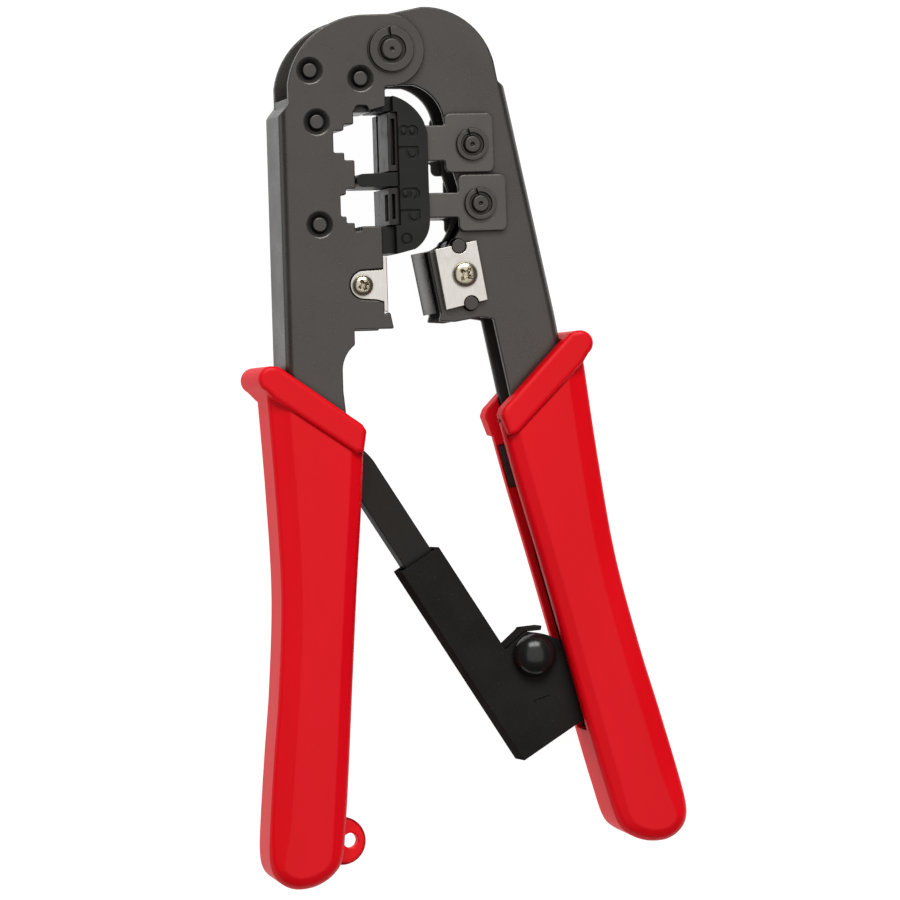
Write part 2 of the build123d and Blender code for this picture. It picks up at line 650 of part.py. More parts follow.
def housing_pin():
    return open_right(rod(HOUSING_HINGE_LOCAL, HOUSING_PIN_RADIUS, -RIGHT_HALF, RIGHT_HALF))


def housing_washers():
    inner = RIGHT_HALF - RIGHT_PLATE
    front = ring(HOUSING_HINGE_LOCAL, HOUSING_PIN_RADIUS, 3.2, HOUSING_HALF + 0.05, inner)
    back = ring(HOUSING_HINGE_LOCAL, HOUSING_PIN_RADIUS, 3.2, -inner, -HOUSING_HALF - 0.05)
    return open_right(Compound([front, back]))


# ---------------------------------------------------------------- ratchet link
def ratchet_bar():
    left = BAR_OFFSET - BAR_HALF_WIDTH
    right = BAR_OFFSET + BAR_HALF_WIDTH
    first_tooth = -42.5
    teeth = []
    for index in range(TOOTH_COUNT):
        y = first_tooth - index * TOOTH_PITCH
        teeth += [(right - 0.9, y - 0.1), (right, y - TOOTH_PITCH)]
    face = contour((-3.9, 0), ((-1.0, 3.8), (3.4, 1.9)), ((6.6, -2.6), (right, -8)),
                   (right, first_tooth), *teeth, (right - 0.9, -BAR_LENGTH),
                   (left + 0.9, -BAR_LENGTH), (left, -BAR_LENGTH + 0.9), (left, -11),
                   ((-1.5, -4.6), (-3.9, 0)))
    bar = slab(face, -BAR_HALF, BAR_HALF) - bore((0, 0), BAR_PIN_RADIUS + RUNNING_GAP)
    return at_bar(bar)


def ratchet_housing():
    """Folded sheet housing that the toothed bar slides into, flared at its hinge."""
    left = CHANNEL_X - HOUSING_HALF_WIDTH
    right = CHANNEL_X + HOUSING_HALF_WIDTH
    wall = HOUSING_WALL
    inner = HOUSING_INNER
    side_plate = contour(
        (left, HOUSING_TOP), (right, HOUSING_TOP), (right, SHOULDER_Y), (-8.8, SHOULDER_Y + 0.7),
        ((-5.75, 10.2), (-3.6, 7.0)), (2.9, 3.0), ((4.2, 0.2), (1.5, -3.9)),
        (-2.0, HOUSING_BOTTOM), (left, HOUSING_BOTTOM))
    shoulder = contour((right, SHOULDER_Y), (-8.8, SHOULDER_Y + 0.7), ((-5.75, 10.2), (-3.6, 7.0)),
                       (-4.35, 6.9), ((-6.3, 9.7), (-9.0, SHOULDER_Y + 0.7 - wall)),
                       (right, SHOULDER_Y - wall))
    housing = both_sides(side_plate, inner, HOUSING_HALF)
    housing += block(left, left + wall, HOUSING_BOTTOM, HOUSING_TOP, -inner, inner)
    housing += block(right - wall, right, 16.0, HOUSING_TOP, -inner, inner)
    housing += block(left, right, HOUSING_BOTTOM, HOUSING_BOTTOM + wall, -inner, inner)
    housing += slab(shoulder, -inner, inner)
    housing -= bore((0, 0), HOUSING_PIN_RADIUS + RUNNING_GAP)
    housing -= bore(KNOB_AT, SPINDLE_RADIUS + RUNNING_GAP)
    stamped_line = Box(3.4, 0.4, 1.0)
    housing -= Pos(-13.3, -0.2, HOUSING_HALF + 0.35) * Rot(0, 0, -14) * stamped_line
    return at_housing(housing)


def pawl():
    """Pawl whose nose rides just clear of the bar's teeth, with its own spindle."""
    nose_x = CHANNEL_X + BAR_HALF_WIDTH + 0.6
    face = contour((nose_x, 10.1), (nose_x + 0.4, 8.5), (KNOB_AT[0] - 1.0, KNOB_AT[1] - 2.1),
                   (KNOB_AT[0] + 1.4, KNOB_AT[1] + 1.8), (KNOB_AT[0] - 1.6, KNOB_AT[1] + 2.5))
    body = slab(face, -BAR_HALF, BAR_HALF) + rod(KNOB_AT, 2.4, -BAR_HALF, BAR_HALF)
    body += rod(KNOB_AT, SPINDLE_RADIUS, -HOUSING_HALF - 0.1, HOUSING_HALF + 0.1)
    body += rod(KNOB_AT, 2.0, -HOUSING_HALF - 0.5, -HOUSING_HALF - 0.1)
    return at_housing(body)


def release_knob():
    low = HOUSING_HALF + 0.1
    knob = rod(KNOB_AT, KNOB_RADIUS, low, low + KNOB_HEIGHT)
    return at_housing(fillet(knob.edges().group_by(Axis.Z)[-1], 2.8))


def pawl_spring():
    """Flat spring welded to the sleeve, arched over the shoulder, with a hooked tab."""
    face = contour((-14.0, 12.05), (-8.8, 12.75), (-5.7, 11.1), (-5.1, 11.8),
                   (-8.5, 13.55), (-9.0, 13.3), (-14.0, 12.5))
    return at_housing(slab(face, -HOUSING_INNER, HOUSING_INNER))


# ---------------------------------------------------------------- assembly
def build():
    """Every node of the tool, by name, drawn about the main pivot."""
    nodes = {
        "left_frame": left_frame(),
        "die_block": die_block(),
        "die_rivets": die_rivets(),
        "punch_guide": punch_guide(),
        "fixed_blade": fixed_blade(),
        "fixed_blade_mount": fixed_blade_mount(),
        "fixed_blade_screw": fixed_blade_screw(),
        "left_grip": left_grip(),
        "main_pivot_pin": main_pivot_pin(),
        "pivot_washer": ring((0, 0), PIVOT_RADIUS, 4.7, LEFT_HALF, WASHER_TOP),
        "pivot_clip": retaining_clip((0, 0), PIVOT_NECK, 4.4, WASHER_TOP, 96),
        "bar_pin": rod(BAR_HINGE, BAR_PIN_RADIUS, -LEFT_HALF, LEFT_HALF),
        "bar_spacers": bar_spacers(),
        "punch_8p": punch_8p(),
        "contact_comb_8p": comb_8p(),
        "punch_6p": punch_6p(),
        "contact_comb_6p": comb_6p(),
        "right_frame": right_frame(),
        "pivot_bushing": ring((0, 0), PIVOT_RADIUS + RUNNING_GAP, 3.8, -4.45, 4.45),
        "opening_spring": opening_spring(),
        "pusher_8p": pusher(10.5, 20.3, -12.7, -24.4, -15.0, -22.0, 2.8, PUSHER_PIN_8P),
        "pusher_6p": pusher(12.9, 22.6, -24.8, -36.0, -28.3, -33.2, 4.0, PUSHER_PIN_6P),
        "pusher_pins": pusher_pins(),
        "pusher_clips": pusher_clips(),
        "moving_blade": moving_blade(),
        "blade_holder": blade_holder(),
        "blade_clamp_plate": blade_clamp_plate(),
        "blade_dowels": blade_dowels(),
        "moving_blade_screw": moving_blade_screw(),
        "right_grip": right_grip(),
        "housing_pin": housing_pin(),
        "housing_washers": housing_washers(),
        "ratchet_bar": ratchet_bar(),
        "ratchet_housing": ratchet_housing(),
        "pawl_spring": pawl_spring(),
        "pawl": pawl(),
        "release_knob": release_knob(),
    }
    return nodes


def main():
    nodes = build()
    whole = Compound(list(nodes.values())).bounding_box()
    shift = Pos(-(whole.min.X + whole.max.X) / 2, -(whole.min.Y + whole.max.Y) / 2, -whole.min.Z)
    for name, shape in nodes.items():
        export_step(shift * shape, f"parts/{name}.step")
    print("overall size", whole.size)
    places = {"main_pivot": (0, 0), "bar_hinge": BAR_HINGE, "housing_hinge": HOUSING_HINGE,
              "knob": from_housing(KNOB_AT), "lanyard": LANYARD_AT}
    for name, (x, y) in places.items():
        moved = (shift * Pos(x, y, 0)).position
        print(name, round(moved.X, 3), round(moved.Y, 3), round(moved.Z, 3))


main()
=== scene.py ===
"""Looks of a ratchet crimping tool for modular plugs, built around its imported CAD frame.

Lengths here are millimetres from the main pivot and from the middle of the tool's thickness, and
become metres when a mesh is made. The left arm's web runs along Y. The right arm is drawn the same
way and then swung open, and the ratchet link is drawn about its hinges.
"""
import json
import math

import bmesh
import bpy
from mathutils import Matrix, Vector


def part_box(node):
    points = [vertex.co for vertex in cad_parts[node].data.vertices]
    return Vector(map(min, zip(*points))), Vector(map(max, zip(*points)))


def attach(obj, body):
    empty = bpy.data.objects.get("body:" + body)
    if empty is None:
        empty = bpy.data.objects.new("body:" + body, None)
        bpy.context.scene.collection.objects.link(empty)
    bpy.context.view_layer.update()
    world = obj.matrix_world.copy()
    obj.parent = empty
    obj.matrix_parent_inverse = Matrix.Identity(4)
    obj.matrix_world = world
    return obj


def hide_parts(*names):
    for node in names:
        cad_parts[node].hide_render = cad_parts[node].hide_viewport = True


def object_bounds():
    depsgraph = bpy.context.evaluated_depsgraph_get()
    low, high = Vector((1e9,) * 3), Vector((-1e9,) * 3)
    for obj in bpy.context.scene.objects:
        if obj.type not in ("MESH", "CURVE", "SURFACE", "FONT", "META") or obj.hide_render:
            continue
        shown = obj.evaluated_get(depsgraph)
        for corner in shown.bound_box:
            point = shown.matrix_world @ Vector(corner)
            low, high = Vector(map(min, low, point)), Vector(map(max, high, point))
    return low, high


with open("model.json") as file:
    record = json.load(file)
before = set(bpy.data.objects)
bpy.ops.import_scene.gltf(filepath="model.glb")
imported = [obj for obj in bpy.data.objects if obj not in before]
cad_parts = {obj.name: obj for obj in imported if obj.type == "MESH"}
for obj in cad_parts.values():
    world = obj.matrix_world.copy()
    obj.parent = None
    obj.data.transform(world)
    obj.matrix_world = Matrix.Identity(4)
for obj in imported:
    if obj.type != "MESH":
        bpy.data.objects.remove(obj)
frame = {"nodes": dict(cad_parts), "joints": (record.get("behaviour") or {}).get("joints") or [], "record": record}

CAD_BOX = [list(corner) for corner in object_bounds()]
JOINTS = {joint["name"]: joint for joint in frame["joints"]}
SLOTS = {row["node"]: row["material_slot"] for row in frame["record"]["subparts"]}

MM = 0.001
OPEN_ANGLE = 10.2        # degrees that the right arm stands open
LINK_ANGLE = 31.8        # degrees that the ratchet link leans

GRIP_HALF = 9.4          # half thickness of the handles
COLLAR_HALF = 10.3       # half thickness of their raised tops
LEFT_WEB_X = -22.6       # outer faces of the two webs
RIGHT_WEB_X = 21.6
KNEE_Y = -104.0          # where the channels begin to flare out inside the handles
HANDLE_END_Y = -154.0    # lower ends of the channels
FLARE = 3.2

WELD_DISTANCE = 1e-6     # metres within which split corners are one
ON_AXIS = 1e-6           # millimetres from the axis that count as on it


def place_at(joint_name, angle):
    """Matrix from millimetres about a joint, turned by an angle in degrees, to the row frame."""
    origin = Matrix.Translation(Vector(JOINTS[joint_name]["pos_m"]))
    return origin @ Matrix.Rotation(math.radians(angle), 4, "Z") @ Matrix.Scale(MM, 4)


LEFT = place_at("handle_hinge", 0)
RIGHT = place_at("handle_hinge", OPEN_ANGLE)
KNOB = place_at("pawl_hinge", LINK_ANGLE)


# ------------------------------------------------------------------------------ finishes
EDGE_TURN = (0.985, 0.90)   # cosines of the turn at which an edge begins to show, and shows fully


class Finish:
    """One material, with short calls for the nodes that the finishes share."""

    def __init__(self, name, **constants):
        self.material = bpy.data.materials.new(name)
        self.material.use_nodes = True
        self.tree = self.material.node_tree
        self.shader = self.tree.nodes["Principled BSDF"]
        self.here = self.add("ShaderNodeTexCoord").outputs["Object"]
        for socket, value in constants.items():
            self.shader.inputs[socket.replace("_", " ")].default_value = value

    def add(self, kind, **settings):
        node = self.tree.nodes.new(kind)
        for name, value in settings.items():
            setattr(node, name, value)
        return node

    def feed(self, node, socket, value):
        """Connect a socket to another node's output, or set it to a number."""
        if isinstance(value, bpy.types.NodeSocket):
            self.tree.links.new(value, node.inputs[socket])
        else:
            node.inputs[socket].default_value = value

    def stretched(self, factors, angle=0):
        """The surface's place, turned about Z and scaled along each axis."""
        mapping = self.add("ShaderNodeMapping")
        self.feed(mapping, "Vector", self.here)
        mapping.inputs["Rotation"].default_value = (0, 0, math.radians(angle))
        mapping.inputs["Scale"].default_value = factors
        return mapping.outputs["Vector"]

    def noise(self, size, detail=2.0, place=None, roughness=0.5):
        """Cloudy noise whose lumps are about size millimetres wide, from 0 to 1."""
        node = self.add("ShaderNodeTexNoise")
        self.feed(node, "Vector", place or self.here)
        node.inputs["Scale"].default_value = 1 / (size * MM)
        node.inputs["Detail"].default_value = detail
        node.inputs["Roughness"].default_value = roughness
        return node.outputs["Fac"]

    def span(self, value, low, high, out_low=0.0, out_high=1.0):
        """A value from low..high brought to out_low..out_high, and held there."""
        node = self.add("ShaderNodeMapRange")
        for socket, number in zip(("From Min", "From Max", "To Min", "To Max"),
                                  (low, high, out_low, out_high)):
            node.inputs[socket].default_value = number
        self.feed(node, "Value", value)
        return node.outputs["Result"]

    def math(self, operation, a, b):
        node = self.add("ShaderNodeMath", operation=operation)
        self.feed(node, 0, a)
        self.feed(node, 1, b)
        return node.outputs[0]

    def mix(self, factor, a, b):
        """Colour a where factor is 0, and colour b where it is 1."""
        node = self.add("ShaderNodeMix", data_type="RGBA")
        self.feed(node, 0, factor)
        self.feed(node, 6, a)
        self.feed(node, 7, b)
        return node.outputs[2]

    def edges(self, radius):
        """1 along sharp edges and 0 on flat faces."""
        bevel = self.add("ShaderNodeBevel", samples=4)
        bevel.inputs["Radius"].default_value = radius * MM
        geometry = self.add("ShaderNodeNewGeometry")
        dot = self.add("ShaderNodeVectorMath", operation="DOT_PRODUCT")
        self.feed(dot, 0, bevel.outputs["Normal"])
        self.feed(dot, 1, geometry.outputs["Normal"])
        return self.span(dot.outputs["Value"], *EDGE_TURN)

    def crevices(self, reach):
        """1 in the open, and towards 0 in corners and recesses."""
        node = self.add("ShaderNodeAmbientOcclusion", samples=6)
        node.inputs["Distance"].default_value = reach * MM
        return node.outputs["AO"]

    def walls(self):
        """1 on faces that look sideways, and 0 on faces that look up or down."""
        axes = self.add("ShaderNodeSeparateXYZ")
        self.feed(axes, 0, self.add("ShaderNodeTexCoord").outputs["Normal"])
        return self.span(self.math("ABSOLUTE", axes.outputs["Z"], 0), 0.7, 0.3)

    def bump(self, *layers):
        """Relief from pairs of a height and its depth in millimetres."""
        normal = None
        for height, depth in layers:
            node = self.add("ShaderNodeBump")
            node.inputs["Distance"].default_value = depth * MM
            self.feed(node, "Height", height)
            if normal is not None:
                self.feed(node, "Normal", normal)
            normal = node.outputs["Normal"]
        self.feed(self.shader, "Normal", normal)

    def done(self, colour, roughness):
        self.feed(self.shader, "Base Color", colour)
        self.feed(self.shader, "Roughness", roughness)
        return self.material


WALL_GLOSS = 0.1         # gloss of the duller side walls, as a share of the broad faces' gloss


def darker(colour, share):
    """A colour with a share of its brightness."""
    return tuple(channel * share for channel in colour[:3]) + (1,)


def grey(value, warmth=0.0):
    """A grey as linear RGBA; warmth lowers blue and half as much green."""
    return (value, value * (1 - warmth / 2), value * (1 - warmth), 1)


def black_coating(name, level, shine, rough, grain=0.16, edge_wear_and_highlight=0.5, warmth=0.17, relief=0.010):
    """Black finish on pressed steel: fine grain, faint clouds, specks, edges lightened partly by rubbing and
    partly as a painted highlight, and painted shade in recesses.
    """
    f = Finish(name, Specular_Tint=(1.0, 0.91, 0.84, 1), Specular_IOR_Level=shine)
    clouds = f.noise(size=9.0, detail=4.0)
    fine = f.noise(size=grain, detail=3.0)
    specks = f.span(f.noise(size=0.55, detail=1.0), 0.70, 0.76)
    body = f.mix(f.span(clouds, 0.3, 0.7), grey(level * 0.82, warmth), grey(level * 1.2, warmth))
    body = f.mix(f.span(fine, 0.35, 0.75, 0, 0.5), body, grey(level * 1.9, warmth))
    body = f.mix(f.math("MULTIPLY", specks, 0.35), body, grey(level * 3.2, warmth))
    # edges lightened in patches: partly rubbed wear, partly a painted highlight
    edges = f.edges(radius=0.35)
    patches = f.span(f.noise(size=1.4, detail=3.0), 0.42, 0.66, 0, edge_wear_and_highlight)
    rubbed_and_highlit = f.math("MULTIPLY", edges, patches)
    body = f.mix(rubbed_and_highlit, body, grey(level * 4.5 + 0.03, warmth / 2))
    # painted shade: the colour darkens in corners and recesses, where the gloss is also lowered
    open_share = f.crevices(reach=2.0)
    body = f.mix(f.span(open_share, 0.75, 0.3, 0, 0.85), body, grey(level * 0.15, warmth))
    gloss = f.math("MULTIPLY", f.span(open_share, 0.3, 0.8, 0.15 * shine, shine),
                   f.span(f.walls(), 0, 1, 1, WALL_GLOSS))
    f.feed(f.shader, "Specular IOR Level", gloss)
    sheen = f.span(f.math("ADD", clouds, f.math("MULTIPLY", fine, 0.5)), 0.5, 1.0,
                   rough - 0.05, rough + 0.07)
    f.bump((clouds, 0.02), (fine, relief))
    return f.done(body, sheen)


VINYL_GLOSS = 0.2
DEEP_RED = (0.88, 0.001, 0.007, 1)
BRIGHT_RED = (0.94, 0.002, 0.011, 1)
# colour of the lighter edges: partly rubbed, partly a painted highlight
RUBBED_AND_HIGHLIT_RED = (0.92, 0.03, 0.035, 1)
SHADED_RED = (0.36, 0.001, 0.003, 1)


def red_vinyl(name):
    """Moulded handle plastic: satin, finely grained, with faint flow marks, scuffs, and edges lightened partly by
    rubbing and partly as a painted highlight.
    """
    f = Finish(name, Specular_IOR_Level=VINYL_GLOSS)
    flow = f.noise(size=16.0, detail=3.0, place=f.stretched((1.0, 0.35, 1.0)))
    grain = f.noise(size=0.22, detail=2.0)
    scuffs = f.noise(size=0.9, detail=3.0, place=f.stretched((1.0, 0.14, 1.0), angle=24))
    scuffs = f.span(scuffs, 0.66, 0.74)
    red = f.mix(f.span(flow, 0.3, 0.7), DEEP_RED, BRIGHT_RED)
    # edges lightened: partly rubbed wear, partly a painted highlight
    red = f.mix(f.math("MULTIPLY", f.edges(radius=0.5), 0.35), red, RUBBED_AND_HIGHLIT_RED)
    red = f.mix(f.span(f.crevices(reach=1.6), 0.75, 0.35, 0, 0.6), red, SHADED_RED)
    rough = f.math("ADD", f.span(flow, 0.3, 0.7, 0.36, 0.42),
                   f.math("MULTIPLY", scuffs, 0.12))
    gloss = f.span(f.walls(), 0, 1, VINYL_GLOSS, VINYL_GLOSS * WALL_GLOSS)
    f.feed(f.shader, "Specular IOR Level", gloss)
    f.bump((flow, 0.05), (grain, 0.006), (scuffs, 0.002))
    return f.done(red, rough)


def black_plastic(name, level, shine, rough, grain):
    """Moulded black plastic with a fine grain, a painted highlight along its edges and painted shade in its
    corners.
    """
    f = Finish(name, Specular_IOR_Level=shine)
    clouds = f.noise(size=6.0, detail=3.0)
    fine = f.noise(size=grain, detail=2.0)
    body = f.mix(f.span(clouds, 0.3, 0.7), grey(level * 0.8, 0.15), grey(level * 1.25, 0.12))
    # painted highlight: lighter along the edges
    body = f.mix(f.math("MULTIPLY", f.edges(radius=0.25), 0.4), body, grey(level * 2.6, 0.1))
    # painted shade: darker in corners and recesses
    body = f.mix(f.span(f.crevices(reach=0.8), 0.95, 0.55, 0, 0.9), body, grey(level * 0.15, 0.1))
    f.bump((clouds, 0.03), (fine, 0.008))
    return f.done(body, f.span(fine, 0.3, 0.7, rough - 0.05, rough + 0.06))


def ground_steel(name, tint, rough, angle=0, line_size=0.5, corner_darkening=0.5, metal=1.0, stain=0.35):
    """Bare or plated metal with fine grinding lines, faint stains, and darker corners and recesses."""
    f = Finish(name, Metallic=metal)
    along = f.stretched((6.0, 0.25, 1.0), angle)
    lines = f.noise(size=line_size, detail=4.0, place=along, roughness=0.7)
    stains = f.noise(size=3.5, detail=4.0)
    body = f.mix(f.span(lines, 0.3, 0.7), darker(tint, 0.80), tint)
    body = f.mix(f.span(stains, 0.52, 0.75, 0, stain), body, darker(tint, 0.62))
    # darker towards corners and recesses
    body = f.mix(f.span(f.crevices(reach=0.7), 0.8, 0.3, 0, corner_darkening), body, grey(0.02, 0.3))
    sheen = f.math("ADD", f.span(lines, 0.3, 0.7, rough - 0.06, rough + 0.06),
                   f.span(stains, 0.5, 0.75, 0, 0.10))
    f.bump((lines, 0.003), (stains, 0.004))
    return f.done(body, sheen)


def polished_black(name):
    """Polished black plastic with hair scratches."""
    f = Finish(name, Specular_IOR_Level=0.5)
    scratches = f.noise(size=0.5, detail=3.0, place=f.stretched((1.0, 0.08, 1.0), angle=35))
    scratches = f.span(scratches, 0.62, 0.70)
    dust = f.span(f.noise(size=0.35, detail=1.0), 0.72, 0.78)
    body = f.mix(f.math("MULTIPLY", dust, 0.4), grey(0.012, 0.1), grey(0.10, 0.05))
    rough = f.math("ADD", f.math("MULTIPLY", scratches, 0.10), 0.22)
    f.bump((f.noise(size=2.5, detail=2.0), 0.01), (scratches, 0.002))
    return f.done(body, rough)


FINISHES = {
    "frame_steel": black_coating("black_frame_coating", level=0.032, shine=0.85, rough=0.29,
                                 grain=0.22, relief=0.012),
    "fastener_steel": black_coating("black_oxide_fastener", level=0.022, shine=0.9, rough=0.34,
                                    grain=0.12, edge_wear_and_highlight=0.8),
    "guide_plastic": black_plastic("guide_plastic", level=0.012, shine=0.28, rough=0.46,
                                   grain=0.12),
    "pusher_steel": black_coating("black_oxide_pusher", level=0.050, shine=0.95, rough=0.34,
                                  grain=0.12, edge_wear_and_highlight=0.9),
    "punch_steel": ground_steel("blued_punch_steel", (0.05, 0.045, 0.044, 1), rough=0.42,
                                corner_darkening=0.95, metal=0.75),
    "contact_steel": ground_steel("contact_blade_steel", (0.08, 0.075, 0.075, 1), rough=0.36,
                                  corner_darkening=0.9),
    "blade_steel": ground_steel("ground_blade_steel", (0.28, 0.27, 0.26, 1), rough=0.26,
                                angle=OPEN_ANGLE),
    "nickel_plate": ground_steel("satin_nickel", (0.90, 0.86, 0.80, 1), rough=0.36,
                                 line_size=0.7, corner_darkening=0.8),
    "screw_plate": ground_steel("yellow_zinc", (0.74, 0.66, 0.50, 1), rough=0.22, angle=30,
                                line_size=0.4, corner_darkening=0.95, stain=0.15),
    "grip_red": red_vinyl("red_handle_vinyl"),
    "link_steel": black_coating("black_oxide_link", level=0.012, shine=0.25, rough=0.42,
                                grain=0.14, edge_wear_and_highlight=0.4, relief=0.006),
    "dark_steel": black_coating("deep_black_oxide", level=0.020, shine=0.0, rough=0.50,
                                grain=0.14, edge_wear_and_highlight=0.2, relief=0.006),
    "spring_steel": ground_steel("spring_steel", (0.10, 0.095, 0.09, 1), rough=0.36),
    "knob_plastic": polished_black("polished_knob"),
}


# ------------------------------------------------------------------------------ mesh helpers
def corner_joiner():
    """Geometry nodes that join a mesh's split corners and shade it smooth."""
    group = bpy.data.node_groups.new("joined_corners", "GeometryNodeTree")
    group.interface.new_socket("Geometry", in_out="INPUT", socket_type="NodeSocketGeometry")
    group.interface.new_socket("Geometry", in_out="OUTPUT", socket_type="NodeSocketGeometry")
    source = group.nodes.new("NodeGroupInput")
    merge = group.nodes.new("GeometryNodeMergeByDistance")
    merge.inputs["Distance"].default_value = WELD_DISTANCE
    smooth = group.nodes.new("GeometryNodeSetShadeSmooth")
    result = group.nodes.new("NodeGroupOutput")
    group.links.new(source.outputs[0], merge.inputs["Geometry"])
    group.links.new(merge.outputs[0], smooth.inputs["Geometry"])
    group.links.new(smooth.outputs[0], result.inputs[0])
    return group


JOINED_CORNERS = corner_joiner()


def soften(piece, width, segments=2, corner=30, flatness=0.6):
    """Round every edge sharper than corner degrees, and keep the broad faces flat.

    Neighbouring faces within flatness degrees of each other become one.
    """
    joined = piece.modifiers.new("joined_corners", "NODES")
    joined.node_group = JOINED_CORNERS
    flat = piece.modifiers.new("whole_faces", "DECIMATE")
    flat.decimate_type = "DISSOLVE"
    flat.angle_limit = math.radians(flatness)
    bevel = piece.modifiers.new("rounded_edges", "BEVEL")
    bevel.width = width * MM
    bevel.segments = segments
    bevel.limit_method = "ANGLE"
    bevel.angle_limit = math.radians(corner)
    bevel.use_clamp_overlap = False
    bevel.miter_outer = "MITER_ARC"
    normals = piece.modifiers.new("flat_normals", "WEIGHTED_NORMAL")
    normals.mode = "FACE_AREA"
    normals.weight = 100


def new_piece(name, bm, place, body, slot):
    """A piece from a mesh in millimetres, put in place on its body with its finish."""
    bm.transform(place)
    bmesh.ops.recalc_face_normals(bm, faces=bm.faces)
    mesh = bpy.data.meshes.new(name)
    bm.to_mesh(mesh)
    bm.free()
    piece = bpy.data.objects.new(name, mesh)
    bpy.context.scene.collection.objects.link(piece)
    mesh.materials.append(FINISHES[slot])
    if body:
        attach(piece, body)
    return piece


def combine(piece, other, operation):
    """Cut or join another mesh object, which is used up."""
    modifier = piece.modifiers.new("shape", "BOOLEAN")
    modifier.operation = operation
    modifier.object = other
    modifier.solver = "EXACT"
    graph = bpy.context.evaluated_depsgraph_get()
    mesh = bpy.data.meshes.new_from_object(piece.evaluated_get(graph))
    piece.modifiers.clear()
    piece.data = mesh
    bpy.data.objects.remove(other)
    return piece


def curve_through(points, steps):
    """Points along a smooth curve through the given ones, ends included."""
    ends = [2 * Vector(points[0]) - Vector(points[1])]
    ends += [Vector(point) for point in points]
    ends.append(2 * Vector(points[-1]) - Vector(points[-2]))
    made = []
    for a, b, c, d in zip(ends, ends[1:], ends[2:], ends[3:]):
        for step in range(steps):
            t = step / steps
            made.append(0.5 * (2 * b + (c - a) * t + (2 * a - 5 * b + 4 * c - d) * t ** 2
                               + (3 * b - a - 3 * c + d) * t ** 3))
    made.append(ends[-2])
    return made


def arc_points(centre, radius, start, stop, steps):
    """Points on an arc between two angles in degrees, ends included."""
    angles = [math.radians(start + (stop - start) * i / steps) for i in range(steps + 1)]
    return [Vector((centre[0] + radius * math.cos(a), centre[1] + radius * math.sin(a)))
            for a in angles]


SHARPEST_LEAN = 0.5      # keeps a sharp corner from moving in by more than twice the inset


def inward(outline):
    """Vector into a closed outline at each of its points, for an inset of one millimetre."""
    area = sum(a.x * b.y - b.x * a.y for a, b in zip(outline, outline[1:] + outline[:1]))
    side = 1 if area > 0 else -1
    directions = []
    for before, here, after in zip(outline[-1:] + outline[:-1], outline, outline[1:] + outline[:1]):
        one = (here - before).normalized()
        two = (after - here).normalized()
        across = Vector((-(one.y + two.y), one.x + two.x)) * side
        lean = max(SHARPEST_LEAN, across.length / 2)
        directions.append(across.normalized() / lean)
    return directions


RIM_TURN = 66            # degrees that a rim curves over before it runs on straight


def rim_point(width, drop, share):
    """Inset and height on a rim: an arc out of the wall, then a straight slope to the face.

    share runs from 0 at the wall to 1 at the end of the arc; 2 is the edge of the face.
    """
    turn = math.radians(RIM_TURN)
    slope = 1 / math.tan(turn)
    radius = (drop - slope * width) / (math.sin(turn) - slope * (1 - math.cos(turn)))
    if share == 2:
        return width, drop
    angle = share * turn
    return radius * (1 - math.cos(angle)), radius * math.sin(angle)


def moulded_slab(outline, half, widths, drop, steps=9, square_end=False, draft=0):
    """Closed slab whose walls curve into sloping rims, with widths along the outline.

    A square end has no rim between the outline's last point and its first. The draft is how far
    the walls lean in at the back.
    """
    bm = bmesh.new()
    into = inward(outline)
    if square_end:
        into[0], into[-1] = into[1], into[-2]
    shares = [step / steps for step in range(steps + 1)] + [2]
    loops = []
    for side, order in ((-1, shares[::-1]), (1, shares)):
        for share in order:
            loop = []
            for point, direction, width in zip(outline, into, widths):
                inset, rise = rim_point(width, drop, share)
                inset += draft if side < 0 else 0
                loop.append(bm.verts.new((*(point + direction * inset),
                                          side * (half - drop + rise))))
            loops.append(loop)
    count = len(outline)
    for lower, upper in zip(loops, loops[1:]):
        for i in range(count):
            j = (i + 1) % count
            bm.faces.new((lower[i], lower[j], upper[j], upper[i]))
    bm.faces.new(loops[0])
    bm.faces.new(loops[-1])
    return bm


def prism(outline, low, high):
    """Straight-sided slab from a closed outline."""
    bm = bmesh.new()
    loops = [[bm.verts.new((*point, z)) for point in outline] for z in (low, high)]
    count = len(outline)
    for i in range(count):
        j = (i + 1) % count
        bm.faces.new((loops[0][i], loops[0][j], loops[1][j], loops[1][i]))
    bm.faces.new(loops[0])
    bm.faces.new(loops[1])
    return bm


def turned_profile(profile, steps=64):
    """Solid of revolution about Z from (radius, height) points; both ends lie on the axis."""
    bm = bmesh.new()
    rings = []
    for radius, height in profile:
        if radius < ON_AXIS:
            rings.append([bm.verts.new((0, 0, height))])
            continue
        rings.append([bm.verts.new((radius * math.cos(2 * math.pi * i / steps),
                                    radius * math.sin(2 * math.pi * i / steps), height))
                      for i in range(steps)])
    for lower, upper in zip(rings, rings[1:]):
        for i in range(steps):
            j = (i + 1) % steps
            corners = [lower[i % len(lower)], lower[j % len(lower)],
                       upper[j % len(upper)], upper[i % len(upper)]]
            bm.faces.new(list(dict.fromkeys(corners)))
    return bm


